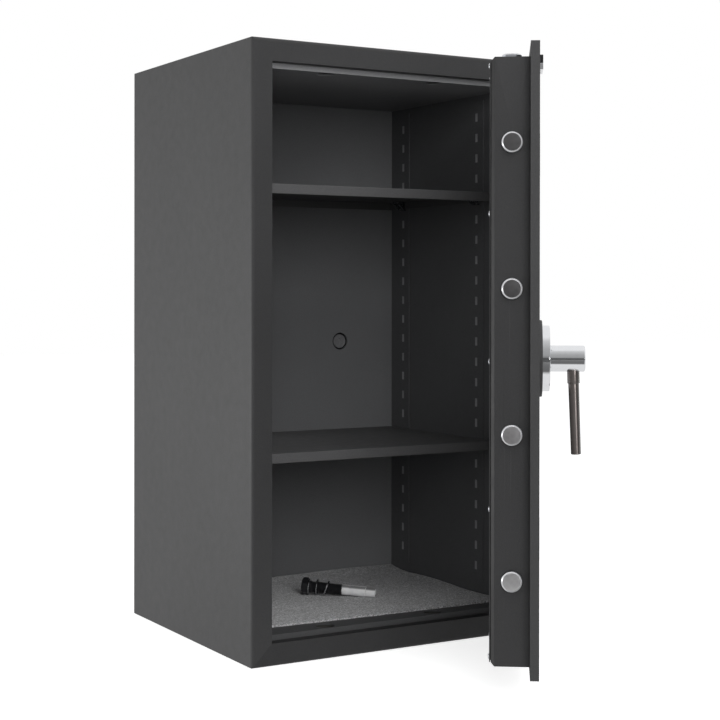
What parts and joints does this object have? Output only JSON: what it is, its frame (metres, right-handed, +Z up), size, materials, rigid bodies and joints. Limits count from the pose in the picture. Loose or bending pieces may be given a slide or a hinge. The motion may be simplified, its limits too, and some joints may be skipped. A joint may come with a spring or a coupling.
{
  "type": "tall steel safe",
  "caption": "Tall upright steel safe with an inset door, round locking bolts, a turning lever handle, adjustable shelves and a felt floor mat.",
  "frame": {"origin": "middle of the cabinet's underside, hinges and door left out", "axes": "+X to the right and +Y to the back as seen from the front, +Z up; stored with the door open and its bolts drawn in"},
  "size_m": [0.455, 0.725, 0.8],
  "materials": {
    "outer_paint": "satin fine texture",
    "liner_paint": "satin fine texture",
    "door_paint": "satin fine texture",
    "shelf_paint": "satin fine texture",
    "fill": "rough",
    "zinc": "zinc plated",
    "chrome": "polished",
    "black_steel": "phosphated",
    "black_plastic": "matt",
    "felt": "needled felt",
    "board": "rough",
    "rubber": "matt",
    "brass": "satin"
  },
  "bodies": {
    "cabinet": {"shell_left": "outer_paint", "shell_right": "outer_paint", "shell_top": "outer_paint", "shell_bottom": "outer_paint", "back_panel": "outer_paint", "wall_fill": "fill", "liner_left": "liner_paint", "liner_right": "liner_paint", "liner_top": "liner_paint", "liner_floor": "liner_paint", "liner_back": "liner_paint", "strip_left_front": "liner_paint", "strip_left_rear": "liner_paint", "strip_right_front": "liner_paint", "strip_right_rear": "liner_paint", "shelf_upper": "shelf_paint", "shelf_lower": "shelf_paint", "shelf_clips_upper": "zinc", "shelf_clips_lower": "zinc", "anchor_tubes": "zinc", "anchor_plugs": "black_plastic", "floor_mat": "felt", "anchor_bolt": "black_steel", "anchor_washers": "zinc", "anchor_sleeve": "zinc", "anchor_cone": "zinc", "frame_knuckles": "outer_paint", "hinge_pins": "chrome"},
    "door": {"door_plate": "door_paint", "door_box": "door_paint", "insulation_board": "board", "cover_gasket": "rubber", "rear_cover": "door_paint", "cover_screws": "zinc", "bolt_bushes": "zinc", "spindle_bush": "brass", "handle_base_disc": "door_paint", "handle_rose": "chrome", "badge_base": "chrome", "badge_inlay": "black_plastic", "key_escutcheon": "chrome", "hard_plate": "zinc", "lock_case": "zinc", "lock_lid": "zinc", "door_knuckles": "door_paint"},
    "handle": {"handle_hub": "chrome", "handle_lever": "chrome", "lever_collar": "chrome", "handle_spindle": "zinc", "cam_disc": "zinc", "spindle_clip": "zinc"},
    "side_bolt_carriage": {"side_bolts": "chrome", "side_carrier": "zinc"},
    "top_bolt_carriage": {"top_bolts": "chrome", "top_carrier": "zinc"},
    "bottom_bolt_carriage": {"bottom_bolts": "chrome", "bottom_carrier": "zinc"},
    "key_barrel": {"key_core": "brass"},
    "lock_slider": {"lock_bolt": "brass"}
  },
  "joints": [
    {"name": "door_hinge", "type": "hinge", "parent": "cabinet", "child": "door", "pos_m": [0.216, -0.2005, 0.4], "axis": [0, 0, 1], "range_deg": [-54.15, 55.85]},
    {"name": "handle_turn", "type": "hinge", "parent": "door", "child": "handle", "pos_m": [0.03672, -0.43923, 0.39675], "axis": [0.8106, -0.5857, 0], "range_deg": [0, 90]},
    {"name": "side_bolts_slide", "type": "slide", "parent": "door", "child": "side_bolt_carriage", "axis": [-0.5857, -0.8106, 0], "range_m": [0, 0.018]},
    {"name": "top_bolts_slide", "type": "slide", "parent": "door", "child": "top_bolt_carriage", "axis": [0, 0, 1], "range_m": [0, 0.018]},
    {"name": "bottom_bolts_slide", "type": "slide", "parent": "door", "child": "bottom_bolt_carriage", "axis": [0, 0, -1], "range_m": [0, 0.018]},
    {"name": "key_turn", "type": "hinge", "parent": "door", "child": "key_barrel", "pos_m": [0.06659, -0.39789, 0.53465], "axis": [0.8106, -0.5857, 0], "range_deg": [0, 90]},
    {"name": "lock_bolt_slide", "type": "slide", "parent": "door", "child": "lock_slider", "axis": [-0.5857, -0.8106, 0], "range_m": [0, 0.008]}
  ],
  "couplings": [
    {"joint": "side_bolts_slide", "follows": "handle_turn", "m_per_rad": 0.011459},
    {"joint": "top_bolts_slide", "follows": "handle_turn", "m_per_rad": 0.011459},
    {"joint": "bottom_bolts_slide", "follows": "handle_turn", "m_per_rad": 0.011459},
    {"joint": "key_turn", "follows": "lock_bolt_slide", "rad_per_m": 196.34}
  ]
}
